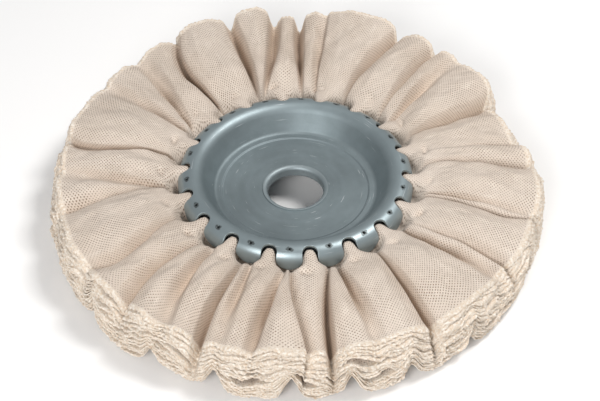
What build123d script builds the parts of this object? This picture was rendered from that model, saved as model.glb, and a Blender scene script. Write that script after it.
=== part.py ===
"""A ventilated cloth polishing wheel: a thick ring of gathered cotton plies on a pressed steel centre.

The wheel lies flat. +Z runs along the bore, and the origin is the middle of the bore, halfway
through the thickness. Two dished steel discs stand back to back, and their floors turn in at the
bore to meet at the middle, where a rolled eyelet joins them. Each disc's rim curls over the cloth
in a ring of rounded lobes, and a clinch ring holds the gathered root of the cloth in the groove
between the discs. All sizes are in millimetres.
"""

import os
from math import cos, hypot, pi, radians, sin, tan

from build123d import *

# Driving dimensions -------------------------------------------------------------------------

# Steel centre
sheet = 1.0  # thickness of both dished discs
web_height = 2.45  # outer face of a disc's floor, above the wheel's mid plane
ledge_rise = 0.5  # the low step pressed around the floor
ledge_width = 3.145  # flat run from that step to the foot of the wall
step_bend = 0.6  # outside bend radius at that step
wall_angle = 58.0  # slope of the dish's wall, in degrees
wall_foot_bend = 2.0  # bend radius where the wall leaves the ledge
crown_circle = 46.9  # radius of the circle that the rim's highest line runs on
crown_bend = 6.1  # outside bend radius of the rolled rim
crown_height = 13.95  # highest line of the rim, above the mid plane

# Lobes that grip the cloth
lobe_count = 18
lobe_width = 11.8
lobe_clearance = 0.35  # gap between a lobe's tip and the clinched cloth
notch_past_crown = 0.6  # where the notches start, outside the rim's highest line
first_notch_angle = -82.6  # direction of one notch, about +Z from +X, in degrees
edge_break = 0.2  # rounding of the sheared edges on the outside of the rim
barb_past_crown = 20.0  # where each lobe is pierced, in degrees round the rim's bend
barb_hole_radius = 0.6
barb_base_radius = 1.15
barb_tip_radius = 0.8
barb_length = 1.9

# Eyelet at the bore
bore_radius = 12.7
eyelet_wall = 0.5
eyelet_lip_width = 2.2  # from the bore to the lip's outer edge
eyelet_entry_bend = 1.9  # rounding from the lip into the bore
eyelet_clearance = 0.05  # between the discs and the eyelet's barrel and lip edge

# Clinch ring
clinch_sheet = 0.8
clinch_leg_inset = 0.7  # how far the two legs stop short of the rim's highest line
clinch_tooth_count = 36
clinch_tooth_depth = 2.2
clinch_clearance = 0.2  # between the ring and the walls and plies that it holds

# Cotton plies
ply_count = 16
ply_thickness = 0.3
ply_outer_radius = 107.0
ply_root_pitch = 0.56  # spacing where the plies are clinched
ply_rim_pitch = 1.45  # spacing at the working face
ply_root_clearance = 0.3  # between a ply's gathered edge and the clinch ring
ply_flare_clearance = 1.5  # flat run past the lobes before the plies flare
ply_flare_bend = 18.0

# Sizes that follow --------------------------------------------------------------------------

eyelet_lip_radius = bore_radius + eyelet_lip_width
collar_radius = bore_radius + eyelet_wall + eyelet_clearance
collar_bend = eyelet_lip_radius + eyelet_clearance - collar_radius
ledge_height = web_height + ledge_rise
rim_radius = crown_circle + crown_bend  # the steel centre's largest radius
bend_centre_height = crown_height - crown_bend
wall_top = (
    crown_circle - crown_bend * sin(radians(wall_angle)),
    bend_centre_height + crown_bend * cos(radians(wall_angle)),
)
wall_foot_radius = wall_top[0] - (wall_top[1] - ledge_height) / tan(radians(wall_angle))
web_radius = wall_foot_radius - ledge_width - ledge_rise  # flat floor of the dish
lobe_pitch = 2 * pi * rim_radius / lobe_count
notch_width = lobe_pitch - lobe_width
lobe_round = lobe_width / 2  # a lobe's tip is a half circle
cut_past = 2.0  # how far a cut runs past what it cuts
root_half_height = (ply_count - 1) / 2 * ply_root_pitch + ply_thickness / 2
lobe_tip_height = root_half_height + lobe_clearance
notch_root_radius = crown_circle + notch_past_crown
clinch_leg_radius = crown_circle - clinch_leg_inset
leg_height = root_half_height + clinch_clearance  # inner face of a clinch ring leg
clinch_half_height = leg_height + clinch_sheet
clinch_inner_radius = (
    wall_top[0]
    + (sheet + clinch_clearance) / sin(radians(wall_angle))
    - (wall_top[1] - clinch_half_height) / tan(radians(wall_angle))
)
ply_root_radius = clinch_inner_radius + clinch_sheet + ply_root_clearance
ply_flare_radius = rim_radius + ply_flare_clearance


def keep(solid, name):
    """Names a finished piece and writes its STEP file."""
    solid.label = name
    export_step(solid, f"parts/{name}.step")


def notch_cutter():
    """What is cut away between two lobes, for a notch in the +X direction."""
    root_centre = notch_root_radius + notch_width / 2
    facing_out = Plane(origin=(root_centre, 0, 0), x_dir=(0, 1, 0), z_dir=(1, 0, 0))
    top = crown_height + cut_past
    bottom = lobe_tip_height - cut_past
    round_centre = lobe_tip_height + lobe_round
    with BuildPart() as cutter:
        with BuildSketch(facing_out):
            with Locations((0, (top + bottom) / 2)):
                Rectangle(lobe_pitch, top - bottom)
            with Locations((-lobe_pitch / 2, top), (lobe_pitch / 2, top)):
                lobe_half = (Align.CENTER, Align.MAX)
                Rectangle(lobe_width, top - round_centre, align=lobe_half, mode=Mode.SUBTRACT)
            with Locations((-lobe_pitch / 2, round_centre), (lobe_pitch / 2, round_centre)):
                Circle(lobe_round, mode=Mode.SUBTRACT)
        extrude(amount=rim_radius + cut_past - root_centre)
        with BuildSketch(Plane.XY.offset(bottom)):
            with Locations((root_centre, 0)):
                Circle(notch_width / 2)
        extrude(amount=top - bottom)
    return cutter.part


def barb_plane(lobe):
    """The plane on the rim's outside where a lobe is pierced, facing inwards."""
    angle = radians(first_notch_angle + (lobe + 0.5) * 360 / lobe_count)
    past = radians(barb_past_crown)
    out = Vector(cos(angle), sin(angle), 0)
    normal = out * sin(past) + Vector(0, 0, cos(past))
    centre = out * crown_circle + Vector(0, 0, bend_centre_height)
    return Plane(origin=centre + normal * crown_bend, z_dir=normal * -1)


def is_sheared_outside(edge):
    """True for the edges that the notches leave on the outside of the rim."""
    middle = edge @ 0.5
    along = hypot(middle.X, middle.Y) - crown_circle
    up = max(middle.Z - bend_centre_height, 0)
    on_outside = abs(hypot(along, up) - crown_bend) < 0.01
    return on_outside and along > 0 and edge.geom_type == GeomType.BSPLINE


def dished_disc():
    """One pressed disc, as the upper one lies: collar, floor, step, wall and the lobed rim."""
    with BuildPart() as disc:
        with BuildSketch(Plane.XZ):
            with BuildLine():
                floor = FilletPolyline(
                    (collar_radius, 0),
                    (collar_radius, web_height),
                    (web_radius, web_height),
                    (web_radius + ledge_rise, ledge_height),
                    (wall_foot_radius, ledge_height),
                    wall_top,
                    radius=(collar_bend, step_bend, step_bend, wall_foot_bend),
                )
                crown = JernArc(wall_top, floor % 1, crown_bend, -(wall_angle + 90))
                Line(crown @ 1, (rim_radius, lobe_tip_height))
                offset(amount=sheet, side=Side.RIGHT, closed=True)
            make_face()
        revolve(axis=Axis.Z)
        pierced = [barb_plane(lobe) for lobe in range(lobe_count)]
        with Locations(*(at.offset(sheet / 2) for at in pierced)):
            inwards = (Align.CENTER, Align.CENTER, Align.MIN)
            Cone(barb_base_radius, barb_tip_radius, sheet / 2 + barb_length, align=inwards)
        with Locations(*pierced):
            Cylinder(barb_hole_radius, 2 * (sheet + barb_length), mode=Mode.SUBTRACT)
        with PolarLocations(0, lobe_count, start_angle=first_notch_angle):
            add(notch_cutter(), mode=Mode.SUBTRACT)
        fillet(disc.edges().filter_by(is_sheared_outside), edge_break)
    return disc.part


def eyelet():
    """The tubular rivet at the bore: a barrel between the floors and a lip rolled over on each."""
    lip_top = web_height + eyelet_wall
    with BuildPart() as ring:
        with BuildSketch(Plane.XZ):
            with BuildLine():
                FilletPolyline(
                    (bore_radius, 0),
                    (bore_radius, lip_top),
                    (eyelet_lip_radius, lip_top),
                    radius=eyelet_entry_bend,
                )
                offset(amount=eyelet_wall, side=Side.RIGHT, closed=True)
            make_face()
        revolve(axis=Axis.Z)
        mirror(about=Plane.XY)
    return ring.part


def clinch_ring():
    """A channel of thin steel around the gathered root, with pointed teeth along both legs."""
    leg_length = clinch_leg_radius - clinch_inner_radius
    # Each gap between teeth widens at the slope of their sides, and runs past their points.
    gap_start = clinch_leg_radius - clinch_tooth_depth
    gap_length = clinch_tooth_depth + cut_past
    gap_half_width = pi * clinch_leg_radius / clinch_tooth_count * gap_length / clinch_tooth_depth
    with BuildPart() as ring:
        with BuildSketch(Plane.XZ):
            with Locations((clinch_inner_radius, 0)):
                Rectangle(leg_length, 2 * clinch_half_height, align=(Align.MIN, Align.CENTER))
            with Locations((clinch_inner_radius + clinch_sheet, 0)):
                inside = (Align.MIN, Align.CENTER)
                Rectangle(leg_length, 2 * leg_height, align=inside, mode=Mode.SUBTRACT)
        revolve(axis=Axis.Z)
        with BuildSketch(Plane.XY.offset(-clinch_half_height - cut_past)):
            with PolarLocations(0, clinch_tooth_count):
                Polygon(
                    (gap_start, 0),
                    (gap_start + gap_length, -gap_half_width),
                    (gap_start + gap_length, gap_half_width),
                    align=None,
                )
        extrude(amount=2 * (clinch_half_height + cut_past), mode=Mode.SUBTRACT)
    return ring.part


def cotton_ply(level):
    """One ply, level steps above the mid plane: clinched flat at its root, then flaring outwards."""
    root = level * ply_root_pitch - ply_thickness / 2
    rim = level * ply_rim_pitch - ply_thickness / 2
    with BuildPart() as ply:
        with BuildSketch(Plane.XZ):
            with BuildLine():
                FilletPolyline(
                    (ply_root_radius, root),
                    (ply_flare_radius, root),
                    (ply_outer_radius, rim),
                    radius=ply_flare_bend,
                )
                offset(amount=ply_thickness, side=Side.LEFT, closed=True)
            make_face()
        revolve(axis=Axis.Z)
    return ply.part


os.makedirs("parts", exist_ok=True)

upper_disc = dished_disc()
keep(upper_disc, "face_disc")
keep(upper_disc.mirror(Plane.XY), "back_disc")
keep(eyelet(), "bore_eyelet")
keep(clinch_ring(), "clinch_ring")
for number in range(ply_count):
    level = (ply_count - 1) / 2 - number
    keep(cotton_ply(level), f"cotton_ply_{number + 1:02d}")
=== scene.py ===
"""The looks of a ventilated cloth polishing wheel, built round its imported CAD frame.

The steel centre keeps its CAD shapes and gets worked-out metal finishes. Each cotton ply is a new
sheet: a closed slab on a grid of columns round the wheel and rows from its root to its cut edge.
Angles run round +Z from the -Y direction towards +X. Cloth is worked out in millimetres and
degrees, and becomes metres when a mesh is made.
"""

import math

import bpy
import numpy as np
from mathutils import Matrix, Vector


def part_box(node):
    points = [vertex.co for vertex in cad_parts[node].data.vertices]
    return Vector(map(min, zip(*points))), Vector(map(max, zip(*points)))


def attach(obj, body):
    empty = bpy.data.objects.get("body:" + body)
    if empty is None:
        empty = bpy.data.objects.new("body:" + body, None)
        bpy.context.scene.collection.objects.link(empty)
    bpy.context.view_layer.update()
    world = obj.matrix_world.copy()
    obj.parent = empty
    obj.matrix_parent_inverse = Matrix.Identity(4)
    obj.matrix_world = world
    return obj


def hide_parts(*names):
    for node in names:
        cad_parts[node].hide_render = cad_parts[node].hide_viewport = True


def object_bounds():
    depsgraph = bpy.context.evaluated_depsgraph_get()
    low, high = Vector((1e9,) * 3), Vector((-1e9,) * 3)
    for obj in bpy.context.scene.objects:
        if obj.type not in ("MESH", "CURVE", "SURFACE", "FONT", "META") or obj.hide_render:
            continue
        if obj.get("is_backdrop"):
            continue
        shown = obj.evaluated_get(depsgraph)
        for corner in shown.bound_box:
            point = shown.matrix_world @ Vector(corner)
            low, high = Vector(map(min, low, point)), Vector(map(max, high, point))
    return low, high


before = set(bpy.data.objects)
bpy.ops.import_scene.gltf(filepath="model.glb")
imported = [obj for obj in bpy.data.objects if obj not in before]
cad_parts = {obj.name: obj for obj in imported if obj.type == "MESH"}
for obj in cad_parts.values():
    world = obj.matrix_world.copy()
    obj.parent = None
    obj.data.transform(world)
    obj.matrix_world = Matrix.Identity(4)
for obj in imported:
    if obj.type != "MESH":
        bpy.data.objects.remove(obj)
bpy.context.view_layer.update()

# Sizes read from the frame, in millimetres ---------------------------------------------------

MM = 0.001
PLIES = sorted(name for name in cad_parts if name.startswith("cotton_ply"))
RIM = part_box("face_disc")[1][1] / MM  # outside radius of the steel centre
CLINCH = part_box("clinch_ring")[1][1] / MM  # outside radius of the clinch ring
CROWN_CIRCLE = RIM - 6.1  # radius of the rim's highest line: its outside bend is 6.1
PIERCED_AT = CROWN_CIRCLE + 2.1  # radius at which each lobe is pierced
PLY_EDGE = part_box(PLIES[0])[1][1] / MM  # radius of the plies' cut edge

# The gathers --------------------------------------------------------------------------------
# Lengths here are in millimetres and directions in degrees.

LOBES = 18
PITCH = 360 / LOBES
FIRST_NOTCH = -152.65  # direction of one notch between two lobes
ROOT = CLINCH + 0.3  # where a ply's visible mesh begins, inside the rim
PATH_RADII = (55, 70, 87, 105)  # where a crease's direction is given
DEPTH_RADII = (60, 80, 97, 106)  # where a crease's depth is given
ARC_RADIUS = 92  # a ply's columns are shared out by the cloth that its folds take up here
EDGE_RADIUS = 106.0  # where the outline of the cut edge is worked out
SHOULDER = 8  # how much wider a crease's broad shoulder is than its steep side
SHARP = 2.2  # a side narrower than this is folded sharply, and leans out over its crease
CREST_AT_STEEL = 12.4  # height of every pleat where it leaves the steel
TONGUE_FOOT = 3.6  # height of the cloth beside the tongues, under the lobes
TONGUE_START = 1.4  # how far a tongue stands above that at its inner end
TONGUE_RISE = 7.3  # and how much higher it comes as it fills its notch

# Each line is one crease of the face and the pleat that follows it. The crease: its direction at
# PATH_RADII, its depth at DEPTH_RADII, and the widths of its left and right sides. The pleat: its
# reach, its height at the edge and its height at mid cloth.
FACE_PLEATS = np.array(
    [
        (-182.6, -181.6, -180.9, -180.8, 4.0, 9.0, 9.0, 8.0, 2.5, 3.0, 109.0, 16.5, 17.0),
        (-163.7, -168.9, -172.3, -173.8, 4.0, 8.0, 7.0, 5.0, 3.5, 3.0, 112.0, 19.0, 18.5),
        (-161.8, -162.0, -162.2, -162.3, 4.5, 9.0, 9.0, 6.0, 3.0, 3.5, 110.5, 17.3, 17.8),
        (-142.6, -142.3, -143.2, -147.3, 5.0, 8.0, 5.0, 3.0, 1.0, 5.0, 109.0, 14.5, 15.5),
        (-122.6, -127.0, -131.5, -134.0, 5.0, 5.5, 2.5, 0.8, 5.5, 3.0, 108.5, 13.5, 15.5),
        (-120.0, -120.2, -121.3, -122.0, 4.0, 3.0, 0.8, 0.0, 3.5, 3.5, 107.5, 12.5, 15.0),
        (-102.6, -102.6, -100.5, -102.2, 5.0, 3.0, 2.5, 2.0, 1.0, 4.5, 106.8, 11.0, 14.2),
        (-82.6, -85.0, -88.3, -90.5, 5.0, 3.0, 1.2, 0.4, 3.0, 5.0, 106.5, 10.2, 12.8),
        (-80.6, -80.2, -78.3, -76.5, 1.5, 4.5, 5.0, 4.0, 6.0, 1.5, 106.3, 9.7, 14.0),
        (-62.6, -58.5, -54.5, -57.0, 4.5, 6.5, 4.0, 2.5, 6.0, 1.4, 105.3, 9.5, 13.8),
        (-42.6, -44.0, -44.0, -41.5, 5.0, 8.0, 7.0, 4.5, 6.5, 1.3, 104.8, 9.6, 14.5),
        (-37.5, -36.6, -34.0, -31.0, 6.5, 6.5, 2.5, 0.0, 4.5, 3.5, 104.8, 9.4, 14.3),
        (-22.6, -23.0, -23.3, -22.0, 5.0, 9.0, 11.0, 11.0, 2.8, 2.2, 105.0, 9.0, 13.5),
        (-19.0, -18.2, -18.0, -17.5, 4.0, 4.5, 0.8, 0.0, 3.5, 3.5, 105.0, 9.2, 14.4),
        (-3.6, -6.6, -8.6, -10.0, 4.0, 9.5, 5.0, 1.0, 4.5, 2.2, 104.5, 10.5, 15.5),
        (-1.6, -1.9, 0.5, 2.8, 2.5, 3.0, 2.6, 2.6, 0.9, 6.0, 103.5, 8.0, 12.5),
        (15.4, 11.3, 9.3, 8.7, 5.0, 10.0, 11.0, 10.0, 2.5, 2.0, 104.0, 10.0, 14.5),
        (17.8, 18.4, 19.0, 19.0, 6.5, 6.0, 2.0, 0.0, 2.5, 4.5, 104.5, 10.0, 14.3),
        (37.3, 35.2, 33.6, 32.4, 5.0, 8.0, 9.0, 8.0, 1.8, 3.0, 106.0, 10.2, 14.8),
        (55.4, 53.8, 54.6, 55.0, 6.0, 5.0, 3.0, 2.0, 4.5, 2.2, 106.5, 10.2, 13.8),
        (58.3, 57.6, 58.0, 57.4, 1.0, 2.5, 4.5, 4.5, 0.9, 5.0, 108.0, 10.5, 14.6),
        (76.6, 75.0, 73.2, 74.4, 3.5, 3.0, 5.5, 4.5, 1.0, 2.5, 108.5, 10.2, 13.6),
        (78.6, 78.0, 77.2, 77.0, 3.0, 2.0, 1.0, 0.5, 2.0, 2.0, 109.5, 10.2, 14.5),
        (97.3, 95.5, 93.0, 92.6, 4.5, 3.5, 4.5, 4.0, 1.0, 5.0, 107.5, 9.5, 13.4),
        (104.0, 103.0, 102.0, 101.5, 0.0, 0.0, 0.0, 0.4, 1.0, 1.0, 102.5, 9.0, 13.3),
        (117.3, 115.8, 116.0, 118.0, 4.5, 6.0, 8.0, 6.0, 1.0, 5.0, 109.5, 14.5, 16.0),
        (129.5, 131.3, 133.5, 134.0, 5.0, 4.5, 1.5, 0.0, 3.5, 4.0, 110.0, 15.5, 17.0),
        (137.3, 137.6, 139.5, 140.0, 5.0, 6.0, 7.0, 6.0, 1.1, 5.0, 109.0, 16.0, 17.2),
        (157.0, 155.0, 153.2, 151.6, 5.0, 8.0, 9.0, 8.0, 1.4, 4.5, 111.5, 18.0, 18.0),
        (170.8, 171.3, 171.6, 172.0, 3.0, 4.0, 2.5, 1.0, 1.6, 5.0, 111.0, 17.5, 17.5),
    ]
)
# The directions of the back's creases at the cut edge, one for each lobe.
BACK_EDGES = (
    *(-184.0, -160.0, -139.0, -119.0, -97.0, -75.0, -52.0, -34.0, -18.0),
    *(-0.6, 12.8, 27.0, 44.0, 67.0, 92.0, 115.0, 136.0, 158.0),
)
# Where plies part at the edge and leave a pocket: direction, the ply above it counted from the
# face, half width in degrees and how many plies' thickness it opens.
POCKETS = (
    (-30.5, 9, 3.0, 2.4),
    (-27.0, 11, 2.0, 2.0),
    (-11.0, 8, 4.0, 2.6),
    (2.5, 9, 2.2, 3.4),
    (9.5, 6, 2.4, 3.0),
    (15.0, 4, 3.2, 4.0),
    (18.5, 9, 3.0, 3.4),
    (36.0, 8, 4.5, 2.2),
    (49.5, 10, 2.2, 3.0),
    (64.0, 7, 3.0, 1.8),
    (95.0, 8, 3.0, 2.2),
    (128.0, 7, 4.0, 2.6),
    (160.0, 6, 3.0, 2.4),
    (-165.0, 8, 3.5, 2.6),
    (-132.0, 5, 3.0, 2.2),
    (-98.0, 9, 3.5, 2.4),
    (-58.0, 10, 2.4, 2.0),
)


def step(low, high, x):
    """0 below low, 1 above high, and between them 3t^2 - 2t^3 of the share t of the way."""
    t = np.clip((x - low) / (high - low), 0, 1)
    return t * t * (3 - 2 * t)


def ripple(angle, radius, seed, turns, lengths, parts=14):
    """Smooth noise about 0: a sum of cosines of whole turns round the wheel and waves outwards.

    turns is the range of waves per turn and lengths the range of wavelengths along the radius."""
    rng = np.random.default_rng(seed)
    total = np.zeros(np.broadcast(angle, radius).shape)
    for _ in range(parts):
        round_it = rng.integers(*turns) * np.radians(angle)
        outwards = radius * 2 * math.pi / rng.uniform(*lengths) * rng.choice((-1, 1))
        total += np.cos(round_it + outwards + rng.uniform(0, 2 * math.pi))
    return total / math.sqrt(parts)


def apart(a, b):
    """Degrees from b to a the short way round."""
    return (a - b + 180) % 360 - 180


def back_pleats():
    """The back's table of creases and pleats, one from each lobe, with drawn depths and widths."""
    rng = np.random.default_rng(23)
    edge = np.array(BACK_EDGES)
    lobe = FIRST_NOTCH - 1.5 * PITCH + PITCH * np.arange(LOBES)
    paths = [lobe + (edge - lobe) * share for share in (0.0, 0.25, 0.65, 1.0)]
    depths = [rng.uniform(4, 5, LOBES), rng.uniform(4, 8, LOBES), rng.uniform(4, 8, LOBES)]
    depths.append(depths[-1] * rng.uniform(0.8, 1.0, LOBES))
    sides = [rng.uniform(1.4, 5, LOBES), rng.uniform(1.4, 5, LOBES)]
    reach = 109.2 + rng.uniform(-1.0, 1.0, LOBES)
    heights = [rng.uniform(10.4, 11.8, LOBES), rng.uniform(11.8, 12.6, LOBES)]
    return np.stack([*paths, *depths, *sides, reach, *heights], -1)


BACK_PLEATS = back_pleats()


def crease_path(creases, radius):
    """Direction of each crease at a radius: the cubic through its four given directions."""
    x = np.clip(radius, PATH_RADII[0], PATH_RADII[-1] + 2)
    total = 0
    for number, knot in enumerate(PATH_RADII):
        others = [other for other in PATH_RADII if other != knot]
        weight = math.prod([(x - other) / (knot - other) for other in others])
        total = total + creases[number] * weight
    return total


def crease_depth(creases, radius):
    """Depth of each crease at a radius: its four given depths, joined by smooth steps."""
    depth = creases[4] * step(PATH_RADII[0] - 2, DEPTH_RADII[0], radius)
    for number in range(3):
        rise = step(DEPTH_RADII[number], DEPTH_RADII[number + 1], radius)
        depth = depth + (creases[5 + number] - creases[4 + number]) * rise
    return depth


def side(distance, width, broad):
    """The side of a crease, from 1 at its bottom to 0: a steep part and a broad round shoulder.

    It is 0.58 (1 - (d/w)^2)^2 + 0.42 (1 - d/b)^2.4, with w the steep width and b the broad one."""
    steep = np.clip(1 - (distance / width) ** 2, 0, 1) ** 2
    return 0.58 * steep + 0.42 * np.clip(1 - distance / broad, 0, 1) ** 2.4


def fold_shares(pleats):
    """Where each crease stands among a ply's columns, from 0 to 1, by the cloth that is in it.

    A pleat's cloth is its span at ARC_RADIUS, plus the part of both its sides' depth that is more
    than their widths cover."""
    after = np.roll(pleats, -1, 0)
    after[-1, :4] += 360
    turned = crease_path(after.T, ARC_RADIUS) - crease_path(pleats.T, ARC_RADIUS)
    span = np.radians(turned) * ARC_RADIUS
    depth = crease_depth(pleats.T, ARC_RADIUS)
    next_depth = crease_depth(after.T, ARC_RADIUS)
    cloth = span + np.hypot(depth, pleats[:, 9]) - pleats[:, 9]
    cloth = cloth + np.hypot(next_depth, after[:, 8]) - after[:, 8]
    return np.concatenate([[0], np.cumsum(cloth)]) / cloth.sum()


FACE_SHARES = fold_shares(FACE_PLEATS)
FACE_TURNS = np.append(FACE_PLEATS[:, 3], FACE_PLEATS[0, 3] + 360)
BACK_SHARES = np.interp(
    np.append(BACK_PLEATS[:, 3], BACK_PLEATS[0, 3] + 360),
    np.concatenate([FACE_TURNS[:-1] - 360, FACE_TURNS, FACE_TURNS[1:] + 360]),
    np.concatenate([FACE_SHARES[:-1] - 1, FACE_SHARES, FACE_SHARES[1:] + 1]),
)


def tongue_height(from_notch, radius):
    """Height of the cloth at the steel: a tongue that fills each notch, and low under the lobes.

    It is foot + rise (1 - |d/w|^4)^1.2 at a distance d from the notch's middle, and both the rise
    and the half width w grow outwards."""
    half = 2.3 + 2.1 * step(46.8, 50.4, radius) + 5.0 * step(53, 60, radius)
    in_notch = (1 - np.clip(np.abs(from_notch) / half, 0, 1) ** 4) ** 1.2
    return TONGUE_FOOT + (TONGUE_START + TONGUE_RISE * step(45.2, 48.2, radius)) * in_notch


def tongue_dent(angle, radius, from_notch, seed):
    """Depth of the crescent dent beside each tongue, where the cloth bends out of the notch.

    It is a bell curve across a parabola that stands beside the tongue, and it varies by lobe."""
    towards = np.where(np.sin(np.radians(angle + 20)) < 0, 1.0, -1.0)
    lobe = np.round((angle - FIRST_NOTCH) / PITCH)
    varied = np.sin(2.7 * lobe + seed)
    aside = from_notch - towards * (2.6 + 0.5 * varied)
    out = radius - (RIM + 7.4 + 0.8 * varied) + 0.10 * aside**2 + 0.22 * towards * aside
    return (2.5 + 0.9 * np.sin(4.1 * lobe)) * np.exp(-((out / 1.2) ** 2) - (aside / 2.4) ** 2)


def overhang(distance, width, depth):
    """How far a sharp side leans out over its crease: 6.75 u (1 - u)^2 of its sharpness, in mm.

    u is the distance from the crease over 4.5 mm, and a shallow crease has less of it."""
    u = np.clip(distance / 4.5, 0, 1)
    sharpness = np.clip(SHARP - width, 0, 1.3)
    return 6.75 * u * (1 - u) ** 2 * sharpness * np.clip(depth / 3, 0, 1)


def gathered_face(columns, rows, pleats, shares, seed):
    """Angle, radius, height and painted crease shade of one gathered face of the cloth, at rows by
    columns.

    columns goes from 0 to 1 round the wheel, and rows from 0 at the root to 1 at the cut edge. In
    a pleat, the height is the crest's, less what each of its two creases takes: the crest's height
    over the crease's bottom, times side() of the distance. Near the steel it gives way to
    tongue_height(). The crease shade is painted shade for the cloth's colour: 0 on a crest and 1
    from 7 mm below it."""
    place = (columns - shares[0]) % 1 + shares[0]
    here = np.searchsorted(shares, place, "right") - 1
    here = np.clip(here, 0, len(pleats) - 1)
    t = (place - shares[here]) / (shares[here + 1] - shares[here])
    after = (here + 1) % len(pleats)
    turn = np.where(here + 1 == len(pleats), 360.0, 0.0)
    left, right, before = (np.moveaxis(pleats[number], -1, 0) for number in (here, after, here - 1))
    reach, edge_high, mid_high = left[10:]

    def across(radius):
        """Direction of a column, its distances from its pleat's two creases, and the pleat's width."""
        from_left = crease_path(left, radius)
        span = crease_path(right, radius) + turn - from_left
        wide = np.radians(span) * radius
        return from_left + span * t, wide * t, wide * (1 - t), wide

    def drops(radius, wide, from_left, from_right, crest, left_low, right_low):
        """The crest's value, less its drop to each crease's value there."""
        spread = 0.45 + 0.75 * step(52, 92, radius)
        whole = 0.96 * wide
        left_wide = np.minimum(left[9] * spread, whole)
        right_wide = np.minimum(right[8] * spread, whole)
        left_side = side(from_left, left_wide, np.minimum(left_wide + SHOULDER, whole))
        right_side = side(from_right, right_wide, np.minimum(right_wide + SHOULDER, whole))
        return crest - (crest - left_low) * left_side - (crest - right_low) * right_side

    # The cut edge draws in where a crease runs out over it.
    _, edge_left, edge_right, edge_wide = across(np.full(np.shape(t), EDGE_RADIUS))
    left_reach = np.minimum(before[10], reach) - 0.7 - 0.30 * left[7]
    right_reach = np.minimum(right[10], reach) - 0.7 - 0.30 * right[7]
    edge_radius = drops(EDGE_RADIUS, edge_wide, edge_left, edge_right, reach, left_reach, right_reach)
    radius = ROOT + (edge_radius - ROOT) * rows
    out = np.clip((radius - RIM) / (edge_radius - RIM), 0, 1)
    angle, from_left, from_right, wide = across(radius)

    def crest(mid, edge):
        """A pleat's height along its middle: from the steel to mid cloth, then to the edge."""
        height = CREST_AT_STEEL + (mid - CREST_AT_STEEL) * step(56, 72, radius)
        return height + (edge - mid) * step(0.5, 1.0, out) ** 1.2

    top = crest(mid_high, edge_high)
    left_low = np.minimum(crest(before[12], before[11]), top) - crease_depth(left, radius)
    right_low = np.minimum(crest(right[12], right[11]), top) - crease_depth(right, radius)

    # A pleat is rounded across, and lifts towards a sharp side near the edge.
    bulge = 0.085 * np.minimum(wide, 26) * 4 * t * (1 - t)
    sharp_left, sharp_right = (np.clip((SHARP - width) / 1.3, 0, 1) for width in (left[9], right[8]))
    lift = 2.4 * (sharp_left * (1 - t) ** 2 + sharp_right * t**2) * step(70, 104, radius)
    crown = top + bulge * step(60, 75, radius) + lift
    pleated = drops(radius, wide, from_left, from_right, crown, left_low, right_low)
    # Painted shade: how far the cloth lies below its crown, from 0 to 1, browns its colour in the
    # creases.
    crease_shade = np.clip((crown - pleated) / 7, 0, 1) * step(RIM + 4, RIM + 12, radius)

    from_notch = np.radians(apart((angle - FIRST_NOTCH) % PITCH * LOBES, 0) / LOBES) * radius
    tongue = tongue_height(from_notch, radius)
    height = tongue + (pleated - tongue) * step(53.4, 60.5, radius)
    height = height - tongue_dent(angle, radius, from_notch, seed)

    crumple = ripple(angle, radius, seed, (14, 60), (22, 90))
    fine = ripple(angle, radius, seed + 1, (50, 130), (9, 30))
    height = height + step(RIM + 3, RIM + 16, radius) * (0.36 * crumple + 0.14 * fine)

    lean = overhang(from_right, right[8], top - right_low)
    lean = (lean - overhang(from_left, left[9], top - left_low)) * step(56, 66, radius)
    return angle + np.degrees(lean / radius), radius, height, crease_shade


def stack_shares(angle, rows, seed):
    """Where each ply's two faces lie in the stack, as shares from 0 at the face to 1 at the back.

    Each ply takes a thickness and leaves a gap, both with some noise, and a pocket widens one gap
    near the edge. The running sum of them all, over its total, gives the shares."""
    count = len(PLIES)
    near_edge = step(0.72, 0.97, rows)
    rng = np.random.default_rng(seed)
    edges = []
    total = np.zeros(np.broadcast(angle, rows).shape)
    for ply in range(count):
        body = 1 + 0.40 * near_edge * ripple(angle, 0, seed + 10 + ply, (8, 70), (1, 2), 9)
        body = np.clip(body, 0.45, 1.9)
        parted = 0.55 + 0.75 * ripple(angle, 0, seed + 40 + ply, (9, 50), (1, 2), 7)
        parted = np.clip(parted, 0.22, 1.8)
        gap = 0.24 + (0.30 * parted - 0.12 + 0.06 * rng.random()) * near_edge
        for where, above, wide, opening in POCKETS:
            if above == ply:
                gap = gap + opening * near_edge * np.exp(-((apart(angle, where) / wide) ** 4))
        start = total
        total = total + body
        edges.append((start, total))
        total = total + gap
    last = edges[-1][1]
    return [(start / last, end / last) for start, end in edges]


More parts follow.
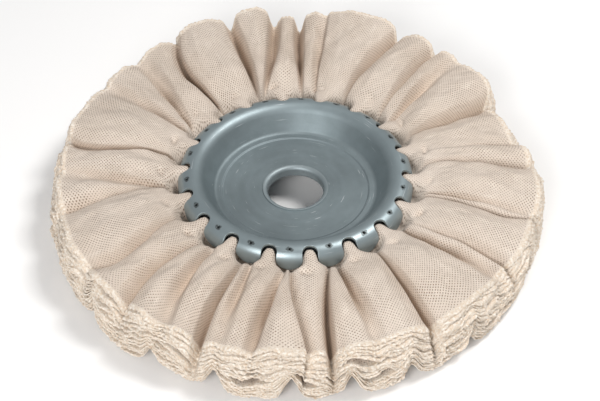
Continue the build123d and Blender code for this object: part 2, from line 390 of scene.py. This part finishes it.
def ply_surface(ply, columns, rows, under):
    """Points of one ply, in metres, and its painted crease shade, at rows by columns.

    under is 0 on the ply's upper side and 1 on its lower side. A point is the mix of the wheel's
    two gathered faces, in angle, radius and height, by its share of the way through the stack.
    The rim bulges a little at mid stack, and its cut edge is ragged."""
    a0, r0, h0, c0 = gathered_face(columns, rows, FACE_PLEATS, FACE_SHARES, 5)
    a1, r1, h1, c1 = gathered_face(columns, rows, BACK_PLEATS, BACK_SHARES, 41)
    a1 = a0 + apart(a1, a0)
    start, end = stack_shares(a0, rows, 77)[ply]
    share = start + (end - start) * under
    angle = a0 + (a1 - a0) * share
    radius = r0 + (r1 - r0) * share
    height = h0 + (-h1 - h0) * share
    swell = step(0.6, 1.0, rows)
    radius = radius + 2.6 * swell * 4 * share * (1 - share)
    ragged = ripple(angle, 0, 300 + ply, (60, 420), (1, 2), 16)
    loose = ripple(angle, 0, 400 + ply, (7, 40), (1, 2), 8)
    radius = radius + (0.32 * ragged + 0.65 * loose) * step(0.93, 1.0, rows)
    sway = ripple(angle, radius, 500, (20, 48), (60, 160), 8)
    height = height + 0.8 * sway * swell * 4 * share * (1 - share)
    turn = np.radians(angle)
    points = np.stack([radius * np.sin(turn), -radius * np.cos(turn), height], -1) * MM
    return points, c0 + (c1 - c0) * share


def closed_sheet(name, points, crease_shade, flat_u, flat_v):
    """A mesh from a grid that closes on itself both ways, with the flat cloth's own coordinates.

    points is rows by columns by 3, and crease_shade, the painted shade of the creases, is rows by
    columns. flat_u gives the distance along the strip for each column and one more that closes it,
    flat_v the distance from the root for each row and one more."""
    rows, columns = points.shape[:2]
    index = np.arange(rows * columns).reshape(rows, columns)
    down = np.roll(index, -1, 0)
    along = np.roll(index, -1, 1)
    both = np.roll(down, -1, 1)
    quads = np.stack([index, down, both, along], -1).reshape(-1, 4)
    mesh = bpy.data.meshes.new(name)
    mesh.vertices.add(rows * columns)
    mesh.vertices.foreach_set("co", points.reshape(-1).astype(np.float32))
    mesh.loops.add(quads.size)
    mesh.loops.foreach_set("vertex_index", quads.reshape(-1).astype(np.int32))
    mesh.polygons.add(len(quads))
    mesh.polygons.foreach_set("loop_start", (np.arange(len(quads)) * 4).astype(np.int32))
    mesh.polygons.foreach_set("use_smooth", np.ones(len(quads), bool))
    u = np.stack([flat_u[:-1], flat_u[:-1], flat_u[1:], flat_u[1:]], -1)
    v = np.stack([flat_v[:-1], flat_v[1:], flat_v[1:], flat_v[:-1]], -1)
    corners = (rows, columns, 4)
    flat = np.stack([np.broadcast_to(u[None], corners), np.broadcast_to(v[:, None], corners)], -1)
    layer = mesh.uv_layers.new(name="flat_cloth")
    layer.data.foreach_set("uv", flat.reshape(-1).astype(np.float32))
    shade = mesh.attributes.new("crease_shade", "FLOAT", "POINT")
    shade.data.foreach_set("value", crease_shade.reshape(-1).astype(np.float32))
    mesh.update(calc_edges=True)
    mesh.validate()
    piece = bpy.data.objects.new(name, mesh)
    bpy.context.scene.collection.objects.link(piece)
    return piece


def even_columns():
    """Places of columns against the length of folded cloth up to them, in millimetres.

    The length is the running sum of the face's steps between close columns, as the mean of the
    sums at four rows."""
    places = np.linspace(0, 1, 14401)
    rows = np.array([[0.45], [0.62], [0.78], [0.94]])
    angle, radius, height, _ = gathered_face(places[None, :], rows, FACE_PLEATS, FACE_SHARES, 5)
    turn = np.radians(angle)
    points = np.stack([radius * np.sin(turn), -radius * np.cos(turn), height], -1)
    steps = np.linalg.norm(np.diff(points, axis=1), axis=-1).mean(0)
    return places, np.concatenate([[0], np.cumsum(steps)])


PLACES, LENGTHS = even_columns()
WEAVE = 1.12 * MM  # distance between the pits of the weave
BIAS_WAVES = round(LENGTHS[-1] * MM / (math.sqrt(2) * WEAVE))
STRIP = BIAS_WAVES * math.sqrt(2) * WEAVE  # length of one ply's strip, a whole number of pits
STRIP_WIDE = (PLY_EDGE - ROOT + 3.0) * MM  # width of the strip, with what its waves take up


def cotton_ply(number):
    """One ply as a closed sheet: upper side out to the edge, a rounded edge, and back underneath.

    The rows close up towards the edge, and a side that is seen has more of them."""
    outer = number in (0, len(PLIES) - 1)
    columns = 1440 if outer else 1000
    around = np.interp(np.arange(columns) / columns * LENGTHS[-1], LENGTHS, PLACES)
    edge_rows = 1 - np.array([0.035, 0.02, 0.010, 0.004, 0.0016])
    if outer:
        seen = np.concatenate([np.linspace(0, 0.955, 48), edge_rows])
        hidden = np.concatenate([np.linspace(0, 0.94, 9), edge_rows[2:]])
    else:
        near = number in (1, 2, len(PLIES) - 2, len(PLIES) - 3)
        seen = hidden = np.concatenate([np.linspace(0, 0.94, 24 if near else 12), edge_rows[1:]])
    upper, lower = (seen, hidden) if number < len(PLIES) / 2 else (hidden, seen)
    rows = np.concatenate([upper, [1.0], lower[::-1]])
    under = np.concatenate([np.zeros(len(upper)), [0.5], np.ones(len(lower))])
    tight = np.clip((1 - rows) / 0.004, 0, 1) ** 0.5
    under = 0.5 + (under - 0.5) * tight
    points, crease_shade = ply_surface(number, around[None, :], rows[:, None], under[:, None])
    along = np.arange(columns + 1) / columns * STRIP
    outwards = np.append(rows, rows[0]) * STRIP_WIDE
    name = PLIES[number].replace("cotton_ply", "gathered_ply")
    piece = closed_sheet(name, points, crease_shade, along, outwards)
    piece.data.materials.append(COTTON)
    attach(piece, "root")
    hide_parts(PLIES[number])
    return piece


# Materials ----------------------------------------------------------------------------------


class Finish:
    """A material under construction: short calls for the nodes that its pattern needs."""

    def __init__(self, name):
        self.material = bpy.data.materials.new(name)
        self.material.use_nodes = True
        self.tree = self.material.node_tree
        self.shader = self.tree.nodes["Principled BSDF"]

    def node(self, kind, **values):
        made = self.tree.nodes.new(kind)
        for key, value in values.items():
            setattr(made, key, value)
        return made

    def put(self, socket, value):
        """Links a node's output to the socket, or sets the socket to a number or colour."""
        if isinstance(value, bpy.types.NodeSocket):
            self.tree.links.new(value, socket)
        else:
            socket.default_value = value

    def math(self, operation, a, b=0.0, c=0.0, clamp=False):
        made = self.node("ShaderNodeMath", operation=operation, use_clamp=clamp)
        for socket, value in zip(made.inputs, (a, b, c)):
            self.put(socket, value)
        return made.outputs[0]

    def ramp(self, value, low, high, to_low=0.0, to_high=1.0, smooth=True):
        kind = "SMOOTHSTEP" if smooth else "LINEAR"
        made = self.node("ShaderNodeMapRange", interpolation_type=kind)
        for socket, given in zip(made.inputs, (value, low, high, to_low, to_high)):
            self.put(socket, given)
        return made.outputs[0]

    def mix(self, share, a, b, blend="MIX"):
        made = self.node("ShaderNodeMix", data_type="RGBA", blend_type=blend)
        self.put(made.inputs[0], share)
        self.put(made.inputs[6], a)
        self.put(made.inputs[7], b)
        return made.outputs[2]

    def noise(self, place, scale, detail=3.0, roughness=0.5, stretch=(1, 1, 1)):
        mapping = self.node("ShaderNodeMapping")
        self.put(mapping.inputs["Vector"], place)
        self.put(mapping.inputs["Scale"], stretch)
        made = self.node("ShaderNodeTexNoise")
        self.put(made.inputs["Vector"], mapping.outputs[0])
        self.put(made.inputs["Scale"], scale)
        self.put(made.inputs["Detail"], detail)
        self.put(made.inputs["Roughness"], roughness)
        return made.outputs["Fac"]

    def bump(self, height, distance, strength=1.0, normal=None):
        made = self.node("ShaderNodeBump")
        self.put(made.inputs["Height"], height)
        self.put(made.inputs["Distance"], distance)
        self.put(made.inputs["Strength"], strength)
        if normal is not None:
            self.put(made.inputs["Normal"], normal)
        return made.outputs[0]

    def split(self, vector):
        made = self.node("ShaderNodeSeparateXYZ")
        self.put(made.inputs[0], vector)
        return made.outputs

    def object_place(self):
        return self.node("ShaderNodeTexCoord").outputs["Object"]


def cotton_cloth():
    """Unbleached cotton sheeting on the bias: threads at 45 degrees to the strip, with open pits.

    With a and b the distances along the two thread directions, a pit stands where both
    cos(2 pi a / weave) and cos(2 pi b / weave) are near 1, and is longer along b. The cloth's colour
    is browned in its creases by a painted shade, and it is frayed in the last few millimetres at its
    cut edge."""
    cloth = Finish("unbleached_cotton")
    flat = cloth.node("ShaderNodeUVMap", uv_map="flat_cloth").outputs[0]
    place = cloth.object_place()
    wobble = cloth.noise(place, 260, 2)
    along, outwards, _ = cloth.split(flat)
    waves = 2 * math.pi / (math.sqrt(2) * WEAVE)
    shift = cloth.math("MULTIPLY", cloth.math("SUBTRACT", wobble, 0.5), 2.2)
    a = cloth.math("MULTIPLY_ADD", cloth.math("ADD", along, outwards), waves, shift)
    b = cloth.math("MULTIPLY_ADD", cloth.math("SUBTRACT", along, outwards), waves, shift)
    wave_a = cloth.math("MULTIPLY_ADD", cloth.math("COSINE", a), 0.5, 0.5)
    wave_b = cloth.math("MULTIPLY_ADD", cloth.math("COSINE", b), 0.5, 0.5)
    lattice = cloth.math("MULTIPLY", wave_a, cloth.math("MULTIPLY_ADD", wave_b, 0.65, 0.35))
    knots = cloth.noise(flat, 620, 2)
    pits = cloth.ramp(cloth.math("MULTIPLY_ADD", knots, 0.55, lattice), 0.74, 1.12)
    ribs = cloth.math("MAXIMUM", wave_a, wave_b)
    slubs = cloth.noise(flat, 420, 3, 0.6, (1, 0.25, 1))
    uneven = cloth.noise(place, 90, 3)
    strength = cloth.ramp(uneven, 0.3, 0.7, 0.6, 1.0)
    edge = cloth.ramp(outwards, STRIP_WIDE * 0.955, STRIP_WIDE * 0.985)
    open_weave = cloth.math("MULTIPLY", strength, cloth.math("SUBTRACT", 1.0, edge))
    pit_shade = cloth.math("MULTIPLY", pits, open_weave)

    blotches = cloth.noise(place, 28, 3)
    base = cloth.mix(cloth.ramp(blotches, 0.3, 0.7), (0.63, 0.54, 0.46, 1), (0.71, 0.62, 0.54, 1))
    base = cloth.mix(cloth.ramp(slubs, 0.5, 0.75, 0.0, 0.35), base, (0.90, 0.82, 0.73, 1))
    # Painted highlight: the raised threads of the weave are made a little lighter.
    base = cloth.mix(cloth.math("MULTIPLY", ribs, 0.10), base, (0.92, 0.82, 0.70, 1))
    # Painted shade: the open pits of the weave are coloured dark brown, for the shade in the gaps
    # between threads.
    base = cloth.mix(cloth.math("MULTIPLY", pit_shade, 0.95), base, (0.20, 0.125, 0.075, 1))
    crease_shade = cloth.node("ShaderNodeAttribute", attribute_name="crease_shade").outputs["Fac"]
    # Painted shade: the cloth is browned in its creases by the mesh's crease shade.
    base = cloth.mix(cloth.math("MULTIPLY", crease_shade, 0.36), base, (0.52, 0.35, 0.22, 1))
    fibres = cloth.ramp(cloth.noise(place, 1000, 3, 0.7), 0.32, 0.68)
    frayed = cloth.mix(fibres, (0.74, 0.60, 0.46, 1), (0.97, 0.90, 0.81, 1))
    colour = cloth.mix(edge, base, frayed)
    cloth.put(cloth.shader.inputs["Base Color"], colour)
    cloth.put(cloth.shader.inputs["Roughness"], 0.92)
    cloth.put(cloth.shader.inputs["Specular IOR Level"], 0.15)
    cloth.put(cloth.shader.inputs["Sheen Weight"], 0.06)
    cloth.put(cloth.shader.inputs["Sheen Roughness"], 0.5)

    fuzz = cloth.noise(place, 1900, 2)
    relief = cloth.math("SUBTRACT", cloth.math("MULTIPLY", ribs, 0.35), pits)
    relief = cloth.math("MULTIPLY", relief, open_weave)
    relief = cloth.math("MULTIPLY_ADD", fuzz, 0.5, relief)
    relief = cloth.math("MULTIPLY_ADD", cloth.math("MULTIPLY", fibres, edge), 1.0, relief)
    cloth.put(cloth.shader.inputs["Normal"], cloth.bump(relief, 0.28 * MM))
    return cloth.material


def zinc_steel(name, tone, marks):
    """Pressed, zinc-plated steel: blue-grey satin metal with turned rings, smears and scratches.

    The rings are a noise of the radius from the wheel's axis alone, so they run round the bore.
    tone is its colour, and marks says how strong the rings, scratches, bruises and the painted
    reflection on the curled rim are."""
    metal = Finish(name)
    place = metal.object_place()
    x, y, _ = metal.split(place)
    radius = metal.math("SQRT", metal.math("MULTIPLY_ADD", x, x, metal.math("MULTIPLY", y, y)))
    ring_place = metal.node("ShaderNodeCombineXYZ")
    metal.put(ring_place.inputs[0], radius)
    rings = metal.noise(ring_place.outputs[0], 900, 3)
    broad_rings = metal.noise(ring_place.outputs[0], 260, 2)
    smears = metal.noise(place, 34, 4, 0.6)
    grain = metal.noise(place, 1500, 2)
    spangle = metal.noise(place, 150, 3)

    def toned(red, green, blue):
        """The metal's tone with each colour made stronger or weaker."""
        return (tone[0] * red, tone[1] * green, tone[2] * blue, 1)

    tint = metal.mix(metal.ramp(smears, 0.3, 0.72), tone, toned(1.22, 1.22, 1.22))
    crystals = metal.math("MULTIPLY", metal.ramp(spangle, 0.4, 0.7), 0.25)
    tint = metal.mix(crystals, tint, toned(0.80, 0.84, 0.82))
    turned = metal.math("MULTIPLY", metal.ramp(broad_rings, 0.35, 0.65), 0.16 * marks)
    tint = metal.mix(turned, tint, toned(1.5, 1.5, 1.55))
    # Painted reflection: the curled rim, from 6 mm inside its crown line outwards, is painted up to
    # 1.9 times lighter, for the bright surroundings it would catch. The same share also makes it less
    # rough.
    curl = metal.ramp(radius, (CROWN_CIRCLE - 6) * MM, CROWN_CIRCLE * MM)
    tint = metal.mix(metal.math("MULTIPLY", curl, 0.5 * marks), tint, toned(1.9, 1.9, 1.9))

    # Thin bright scratches run round the dish.
    turn = metal.math("ARCTAN2", y, x)
    polar = metal.node("ShaderNodeCombineXYZ")
    metal.put(polar.inputs[0], metal.math("MULTIPLY", turn, 0.0015))
    metal.put(polar.inputs[1], radius)
    lines = metal.noise(polar.outputs[0], 1400, 2, 0.6)
    tint = metal.mix(metal.ramp(lines, 0.66, 0.74, 0.0, 0.55 * marks), tint, (0.80, 0.84, 0.86, 1))

    # Each lobe is bruised where it was pierced: an oval, 1.9 by 1.25 mm in radius, with a torn edge.
    lobe = metal.math("MULTIPLY_ADD", turn, LOBES / (2 * math.pi), (90 - FIRST_NOTCH) / PITCH)
    aside = metal.math("SUBTRACT", metal.math("FRACT", lobe), 0.5)
    aside = metal.math("MULTIPLY", aside, 2 * math.pi / LOBES * PIERCED_AT / 1.9)
    out = metal.math("MULTIPLY", metal.math("SUBTRACT", radius, PIERCED_AT * MM), 1 / (1.25 * MM))
    near = metal.math("MULTIPLY_ADD", aside, aside, metal.math("MULTIPLY", out, out))
    near = metal.math("MULTIPLY_ADD", metal.noise(place, 800, 2), 2.2, near)
    bruise = metal.math("MULTIPLY", metal.ramp(near, 2.1, 1.5), marks)
    tint = metal.mix(metal.math("MULTIPLY", bruise, 0.8), tint, (0.07, 0.08, 0.08, 1))
    metal.put(metal.shader.inputs["Base Color"], tint)
    metal.put(metal.shader.inputs["Metallic"], 0.62)
    rough = metal.ramp(smears, 0.25, 0.75, 0.46, 0.60)
    rough = metal.math("MULTIPLY_ADD", curl, -0.14, rough)
    rough = metal.math("MULTIPLY_ADD", metal.math("SUBTRACT", grain, 0.5), 0.12, rough)
    metal.put(metal.shader.inputs["Roughness"], rough)
    relief = metal.math("MULTIPLY_ADD", rings, 0.6 * marks, metal.math("MULTIPLY", broad_rings, marks))
    relief = metal.math("MULTIPLY_ADD", grain, 0.12, relief)
    metal.put(metal.shader.inputs["Normal"], metal.bump(relief, 0.05 * MM))
    return metal.material


def pale_floor():
    """A plain, nearly white, matt floor."""
    floor = Finish("pale_floor")
    floor.put(floor.shader.inputs["Base Color"], (0.98, 0.98, 0.98, 1))
    floor.put(floor.shader.inputs["Roughness"], 0.8)
    return floor.material


COTTON = cotton_cloth()


def finish_steel():
    """Gives the CAD's steel pieces their metals."""
    metals = {
        "face_disc": zinc_steel("zinc_disc_steel", (0.20, 0.24, 0.253, 1), 1.0),
        "bore_eyelet": zinc_steel("eyelet_steel", (0.27, 0.315, 0.33, 1), 0.5),
        "clinch_ring": zinc_steel("clinch_steel", (0.30, 0.33, 0.34, 1), 0.2),
    }
    metals["back_disc"] = metals["face_disc"]
    for node, material in metals.items():
        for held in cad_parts[node].material_slots:
            held.material = material


# The studio ---------------------------------------------------------------------------------


def studio_floor():
    """A round floor, 3 m in radius, at the lowest point of the wheel."""
    mesh = bpy.data.meshes.new("studio_floor")
    sides = 64
    turn = np.linspace(0, 2 * np.pi, sides, endpoint=False)
    level = np.full(sides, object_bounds()[0][2])
    ring = np.stack([3 * np.cos(turn), 3 * np.sin(turn), level], -1)
    mesh.from_pydata(ring.tolist(), [], [list(range(sides))])
    mesh.materials.append(pale_floor())
    floor = bpy.data.objects.new("studio_floor", mesh)
    bpy.context.scene.collection.objects.link(floor)
    floor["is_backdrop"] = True


def soft_light(name, place, size, power, colour=(1, 1, 1)):
    """A square area light at a place in metres, aimed at the wheel."""
    data = bpy.data.lights.new(name, "AREA")
    data.size = size
    data.energy = power
    data.color = colour
    lamp = bpy.data.objects.new(name, data)
    lamp.location = place
    lamp.rotation_euler = (-Vector(place)).to_track_quat("-Z", "Y").to_euler()
    bpy.context.scene.collection.objects.link(lamp)


def studio():
    """Bright surroundings, a key from the right and above, a fill from the front, and the camera."""
    world = bpy.data.worlds.new("studio")
    world.use_nodes = True
    surroundings = world.node_tree.nodes["Background"]
    surroundings.inputs["Color"].default_value = (0.98, 0.985, 1.0, 1)
    surroundings.inputs["Strength"].default_value = 0.29
    bpy.context.scene.world = world
    soft_light("key", (0.42, 0.10, 0.82), 0.30, 5.5, (1.0, 0.985, 0.965))
    soft_light("front_fill", (-0.32, -0.85, 0.58), 0.45, 7.2, (1.0, 0.99, 0.98))
    camera_data = bpy.data.cameras.new("camera")
    camera_data.lens = 91.7
    camera_data.sensor_width = 36
    camera = bpy.data.objects.new("camera", camera_data)
    elevation = math.radians(44.6)
    distance = 0.690
    target = (0.00205, -0.00697, 0.00125)
    camera.location = (
        target[0],
        target[1] - distance * math.cos(elevation),
        target[2] + distance * math.sin(elevation),
    )
    camera.rotation_euler = (math.pi / 2 - elevation, 0, 0)
    camera.rotation_euler.rotate_axis("Z", math.radians(0.32))
    bpy.context.scene.collection.objects.link(camera)
    bpy.context.scene.camera = camera


bpy.context.scene.view_settings.view_transform = "Standard"
finish_steel()
for number in range(len(PLIES)):
    cotton_ply(number)
studio_floor()
studio()
